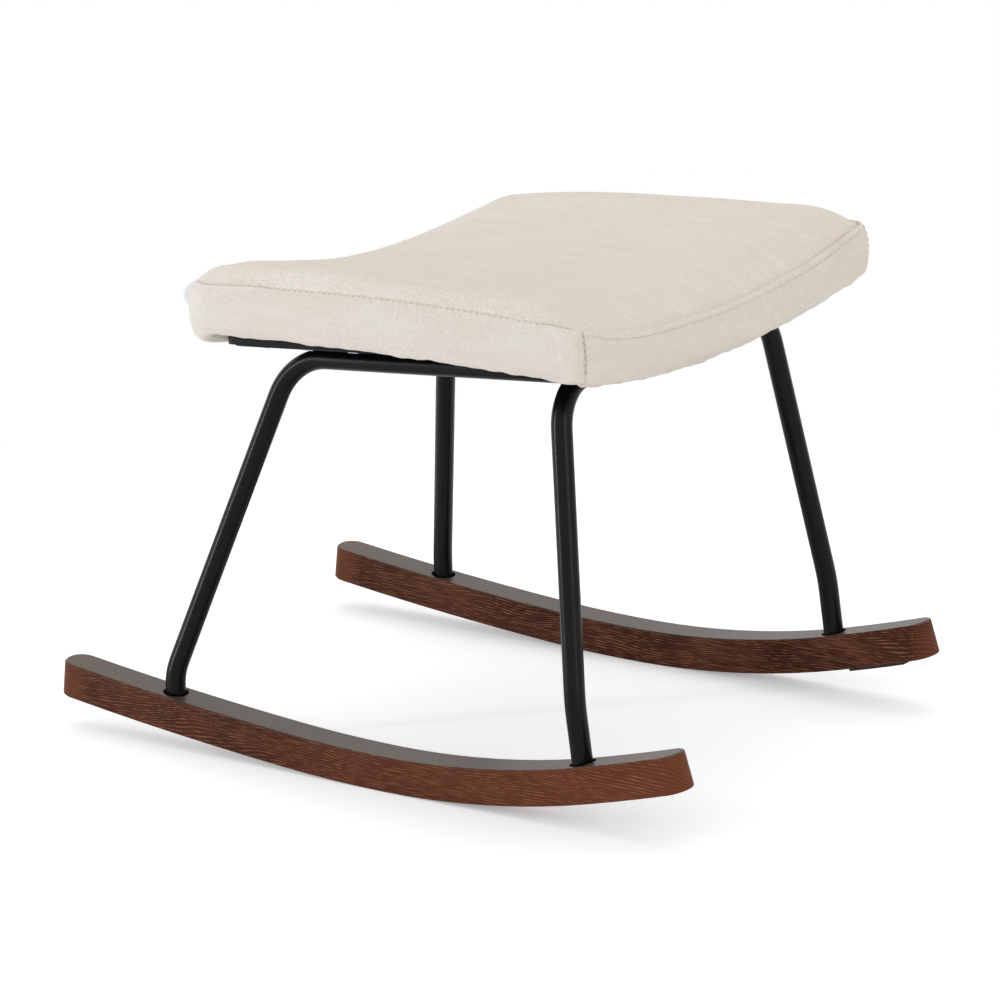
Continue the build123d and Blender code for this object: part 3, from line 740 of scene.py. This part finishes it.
def topstitch(name, path, normals, material):
    """A run of stitches along a path on the fabric, each dipping into it at its ends."""
    run = np.concatenate([[0], np.cumsum(np.linalg.norm(np.diff(path, axis=0), axis=1))])
    count = int(run[-1] / STITCH_PITCH)
    rings = capsule_rings(STITCH_LENGTH, STITCH_RADIUS)
    sides = len(rings[0])
    points, faces = [], []
    for k in range(count):
        at = (k + 0.5) * STITCH_PITCH
        here = Vector([np.interp(at, run, path[:, axis]) for axis in range(3)])
        ahead = Vector([np.interp(at + 1, run, path[:, axis]) for axis in range(3)]) - here
        out = Vector([np.interp(at, run, normals[:, axis]) for axis in range(3)]).normalized()
        ahead.normalize()
        beside = out.cross(ahead).normalized()
        base = len(points)
        for ring in rings:
            dip = abs(ring[0][0]) / STITCH_LENGTH * 1.1
            for px, py, pz in ring:
                points.append((here + ahead * px + beside * py + out * (pz + 0.12 - dip * dip)) * MM)
        for r in range(len(rings) - 1):
            for c in range(sides):
                d = (c + 1) % sides
                faces.append((base + r * sides + c, base + r * sides + d,
                              base + (r + 1) * sides + d, base + (r + 1) * sides + c))
        faces.append([base + c for c in reversed(range(sides))])
        faces.append([base + (len(rings) - 1) * sides + c for c in range(sides)])
    piece = new_piece(name, points, faces, material)
    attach(piece, "root")


CORNER_STITCHED = 44.0      # how far the stitches run down each corner seam
CORNER_SINK = 0.35          # how much deeper they lie than the others
SEAM_TUCK = 1.3             # how far each panel's edge turns in at a seam


def tucked(rows, normal):
    """Adds a row that turns in behind the seam."""
    return np.concatenate([rows[:1] - normal[:1] * SEAM_TUCK, rows])


def tucked_ends(rows, normal):
    """Adds a column at each end that turns in behind the corner seam."""
    ends = [rows[:, k:k + 1] - normal[:, k:k + 1] * SEAM_TUCK for k in (0, -1 % rows.shape[1])]
    return np.concatenate([ends[0], rows, ends[1]], axis=1)


def make_pad(fabric, thread):
    """The upholstered pad: three sewn panels over a simulated stuffing, with its topstitching."""
    top = top_rows(outline)
    band = band_rows(outline, outline_normal, outline_at)
    top_normal, band_normal = grid_normals(top, TOP_FACING), grid_normals(band, BAND_FACING)
    tree = simulated_pad()
    top += top_normal * cloth_offsets(top, tree, top_normal)
    band += band_normal * cloth_offsets(band, tree, band_normal)
    seam = (top[0] + band[0]) / 2
    top[0], band[0] = seam, seam
    front = side_blend(outline_normal)[2] ** 3
    seam_normal = top_normal[0] + band_normal[0]
    seam_normal /= np.linalg.norm(seam_normal, axis=1)[:, None]
    top_normal[0] = band_normal[0] = seam_normal
    band_distance = row_distance(band)
    band = band + band_normal * band_relief(band_distance, front, outline_at)[..., None]
    top = top + top_normal * top_relief(row_distance(top), front, outline_at)[..., None]

    cover = fabric_piece("cover_top_panel", tucked(top, top_normal), True, 1.0, outline_at, fabric, TOP_FACING)
    plain_top_place(cover, tucked(top, top_normal))
    close_middle(cover, len(top) * len(outline), top[-1])
    pieces = [cover]
    for name, columns, panel in (("cover_wrap_panel", WRAP_COLUMNS, 4.0), ("cover_front_panel", FRONT_COLUMNS, 9.0)):
        rows, normal = band[:, columns], band_normal[:, columns]
        corner_groove(rows, normal)
        run = np.concatenate([[0], np.cumsum(np.linalg.norm(np.diff(outline[columns], axis=0), axis=1))])
        grid = tucked_ends(tucked(rows, normal), tucked(normal, 0 * normal))
        run = np.concatenate([[-SEAM_TUCK], run, [run[-1] + SEAM_TUCK]])
        pieces.append(fabric_piece(name, grid, False, panel, run, fabric, BAND_FACING))
    for piece in pieces:
        thicken(piece)
        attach(piece, "root")
    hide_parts("cover_top", "foam_core", "wadding")
    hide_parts("cover_wrap_band")
    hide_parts("cover_front_band")
    sewn_rows(band, band_normal, band_distance, thread)


def corner_groove(rows, normal):
    """Draws the two ends of a band in a little where the corner seams run."""
    run = np.concatenate([[0], np.cumsum(np.linalg.norm(np.diff(rows[0], axis=0), axis=1))])
    edge = np.minimum(run, run[-1] - run)
    rows -= normal * (0.5 * bump_at(edge, 0, 0.9))[None, :, None]


def plain_top_place(piece, rows):
    """Fabric coordinates of the top panel: straight along X and Y, so its threads run true."""
    place = np.zeros((rows.shape[0] * rows.shape[1], 3))
    place[:, :2] = rows.reshape(-1, 3)[:, :2] * MM
    place[:, 2] = 1.0
    piece.data.attributes["cloth"].data.foreach_set("vector", place.astype(np.float32).ravel())


def close_middle(piece, start, ring_points):
    """Fills the small hole in the middle of the top panel."""
    mesh = bmesh.new()
    mesh.from_mesh(piece.data)
    mesh.verts.ensure_lookup_table()
    count = len(ring_points)
    ring = [mesh.verts[start + c] for c in range(count)]
    middle = mesh.verts.new(Vector(ring_points.mean(0) * MM))
    layer = mesh.verts.layers.float_vector["cloth"]
    middle[layer] = (middle.co.x, middle.co.y, 1.0)
    for c in range(count):
        face = mesh.faces.new((middle, ring[c], ring[(c + 1) % count]))
        face.smooth = True
    mesh.to_mesh(piece.data)
    mesh.free()


def band_columns():
    """Columns of the front band and of the wrap band, which share the two corner seams."""
    count = len(outline)
    on_front = outline_normal[:, 0] > 0.7
    half = count // 2
    last = max(c for c in range(half) if on_front[c])
    first = min(c for c in range(half, count) if on_front[c])
    return [*range(first, count), *range(last + 1)], list(range(last, first + 1))


FRONT_COLUMNS, WRAP_COLUMNS = band_columns()


def sewn_rows(band, normal, distance, thread):
    """Topstitch lines: past the fell along the front, in the seam elsewhere, and down both corner seams."""
    runs = (("topstitch_front", FRONT_COLUMNS, FELL_WIDTH + 0.5, 3),
            ("topstitch_wrap", WRAP_COLUMNS, SIDE_STITCH_DEPTH, 1))
    for name, columns, depth, trim in runs:
        path, out = [], []
        for c in columns[trim:len(columns) - trim]:
            path.append([np.interp(depth, distance[:, c], band[:, c, axis]) for axis in range(3)])
            out.append([np.interp(depth, distance[:, c], normal[:, c, axis]) for axis in range(3)])
        topstitch(name, np.array(path), np.array(out), thread)
    for name, column in (("topstitch_corner_near", FRONT_COLUMNS[0]), ("topstitch_corner_far", FRONT_COLUMNS[-1])):
        rows = [r for r in range(len(band)) if 2.5 < distance[r, column] < CORNER_STITCHED]
        path = band[rows, column] - normal[rows, column] * CORNER_SINK
        topstitch(name, path, normal[rows, column], thread)


# ------------------------------------------------------------------ tab, welds
TAB_OUT, TAB_LEAN = 0.007, 0.014      # the loop's free end is pressed towards the near side


def make_tab(tape):
    """Folded loop of plain tape in the back seam, slightly wavy."""
    low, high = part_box("blank_tab")
    width = high.z - low.z
    rows, columns = 15, 12
    out = high.x - low.x
    points = []
    for r in range(rows):
        t = r / (rows - 1)
        fold = pi * t
        bow = 0.15 * (high.y - low.y)
        reach = sin(fold) ** 0.6 if 0 < t < 1 else 0
        for c in range(columns):
            s = c / (columns - 1)
            lean = 0.0012 * sin(pi * s) + 0.0006 * sin(7 * s)
            part = reach * (0.25 + 0.75 * sin(pi * s) ** 0.6 if 0 < s < 1 else 0.25)
            x = high.x - (out + TAB_OUT) * part - lean * reach
            y = (low.y + high.y) / 2 + bow * cos(fold) + 0.0008 * sin(5 * s + 1) - TAB_LEAN * part
            points.append((x, y, low.z + width * s))
    piece = new_piece("blank_tape_tab", points, grid_faces(rows, columns, False), tape)
    shell = piece.modifiers.new("thickness", "SOLIDIFY")
    shell.thickness = 0.0004
    apply_modifiers(piece)
    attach(piece, "root")
    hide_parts("blank_tab")


def weld_bead(name, centre, axis, radius, material):
    """A rippled weld round a tube end that meets another tube."""
    around, section = 72, 8
    axis = Vector(axis).normalized()
    beside = axis.cross(Vector((0, 0, 1))).normalized()
    over = axis.cross(beside)
    points = []
    for a in range(around):
        angle = TAU * a / around
        out = beside * cos(angle) + over * sin(angle)
        ripple = 1 + 0.16 * sin(angle * 24)
        back = 0.0042 * cos(angle * 2) * -0.5
        for s in range(section):
            turn = TAU * s / section
            size = 0.0017 * ripple
            points.append(Vector(centre) + out * (radius + size * cos(turn)) + axis * (back + size * sin(turn)))
    faces = []
    for a in range(around):
        b = (a + 1) % around
        for s in range(section):
            t = (s + 1) % section
            faces.append((a * section + s, a * section + t, b * section + t, b * section + s))
    piece = new_piece(name, points, faces, material)
    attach(piece, "root")


def make_welds(paint):
    """Beads where the two rails meet the cross bar."""
    tube_radius = 0.009
    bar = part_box("leg_hoop")
    for name, rail in (("weld_near", "rail_leg_near"), ("weld_far", "rail_leg_far")):
        low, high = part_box(rail)
        y = high.y - tube_radius if rail == "rail_leg_near" else low.y + tube_radius
        z = bar[1].z - tube_radius
        weld_bead(name, (high.x - 0.0005, y, z), (1, 0, 0.067), tube_radius, paint)


# ------------------------------------------------------------------ surroundings
SHADOW_REACH = (0.6, 1.15)
FLOOR_LIFT = 0.3            # brings the lit floor up to white for the camera only


def stage_material():
    """Pale floor that is white to the camera and keeps the shadow near the stool."""
    f = Finish("pale_floor", 0.9, Specular_IOR_Level=0.0, Emission_Strength=1.0)
    f.paint((250, 250, 250))
    paths = f.tree.nodes.new("ShaderNodeLightPath")
    seen = Field(f, paths.outputs["Is Camera Ray"])
    x, y, z = f.parts(f.position())
    radius = (x * x + y * y) ** 0.5
    f.vary("Emission Color", seen * FLOOR_LIFT)
    glow = f.tree.nodes.new("ShaderNodeEmission")
    blend = f.tree.nodes.new("ShaderNodeMixShader")
    f.tree.links.new((seen * radius.between(*SHADOW_REACH)).socket, blend.inputs[0])
    f.tree.links.new(f.shader.outputs[0], blend.inputs[1])
    f.tree.links.new(glow.outputs[0], blend.inputs[2])
    f.tree.links.new(blend.outputs[0], f.tree.nodes["Material Output"].inputs[0])
    return f.material


def make_stage():
    size = 9.0
    points = [(-size, -size, 0), (size, -size, 0), (size, size * 2, 0), (-size * 2, size * 2, 0)]
    floor = new_piece("floor", points, [(0, 1, 2, 3)], stage_material(), smooth=False)


def area_light(name, place, target, size, power, shade=(255, 255, 255)):
    data = bpy.data.lights.new(name, "AREA")
    data.shape = "RECTANGLE"
    data.size, data.size_y = size
    data.energy = power
    data.color = colour(shade)[:3]
    lamp = bpy.data.objects.new(name, data)
    aim = (Vector(target) - Vector(place)).to_track_quat("-Z", "Y")
    lamp.matrix_world = Matrix.Translation(place) @ aim.to_matrix().to_4x4()
    bpy.context.scene.collection.objects.link(lamp)


WORLD_LEVEL = 0.76


def make_light():
    world = bpy.data.worlds.new("studio")
    bpy.context.scene.world = world
    world.use_nodes = True
    tree = world.node_tree
    paths = tree.nodes.new("ShaderNodeLightPath")
    total = None
    for name in ("Is Camera Ray", "Is Glossy Ray", "Is Transmission Ray"):
        if total is None:
            total = paths.outputs[name]
            continue
        joined = tree.nodes.new("ShaderNodeMath")
        joined.operation = "MAXIMUM"
        tree.links.new(total, joined.inputs[0])
        tree.links.new(paths.outputs[name], joined.inputs[1])
        total = joined.outputs[0]
    level = tree.nodes.new("ShaderNodeMapRange")
    tree.links.new(total, level.inputs["Value"])
    level.inputs["To Min"].default_value = WORLD_LEVEL
    level.inputs["To Max"].default_value = 1.0
    background = tree.nodes["Background"]
    background.inputs["Color"].default_value = (1, 1, 1, 1)
    tree.links.new(level.outputs["Result"], background.inputs["Strength"])
    area_light("overhead", (-0.3, 0.6, 2.6), (0, 0, 0.3), (2.0, 2.0), 13)
    area_light("strip_left", (-1.75, -1.75, 0.5), (0, 0, 0.3), (0.1, 1.3), 22, (232, 238, 255))
    area_light("fill_right", (2.6, -0.9, 0.9), (0, 0, 0.3), (1.2, 1.2), 8)


# ------------------------------------------------------------------ dress the frame
def dress(materials):
    for node, material in materials.items():
        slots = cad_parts[node].data.materials
        slots.clear()
        slots.append(material)


def main():
    make_camera()
    make_stage()
    make_light()
    wood, tube = rocker_wood(), black_paint("satin_black", 0.24)
    steel, board = zinc(), painted_ply()
    fabric, tape, thread = cover_fabric(), tape_fabric(), thread_finish()
    dress({"rocker_near": wood, "rocker_far": wood, "grip_strip_far": grip_rubber(), "leg_hoop": tube,
           "rail_leg_near": tube, "rail_leg_far": tube, "seat_tabs": tube, "leg_plugs": steel,
           "foot_screws": steel, "foot_washers": steel, "seat_screws": steel, "seat_washers": steel,
           "tee_nuts": steel, "seat_spacers": moulded_plastic(), "seat_board": board,
           "dust_cover": dust_cloth(), "dust_staples": steel,
           "foam_core": plain_fibre("cut_foam", (214, 202, 160), (232, 222, 186)),
           "wadding": plain_fibre("fibre_wadding", (228, 228, 224), (244, 244, 240)),
           "cover_top": fabric, "cover_wrap_band": fabric, "cover_front_band": fabric, "blank_tab": tape})
    make_pad(fabric, thread)
    make_tab(tape)
    make_welds(tube)
    bpy.context.scene.view_settings.view_transform = "Standard"


main()
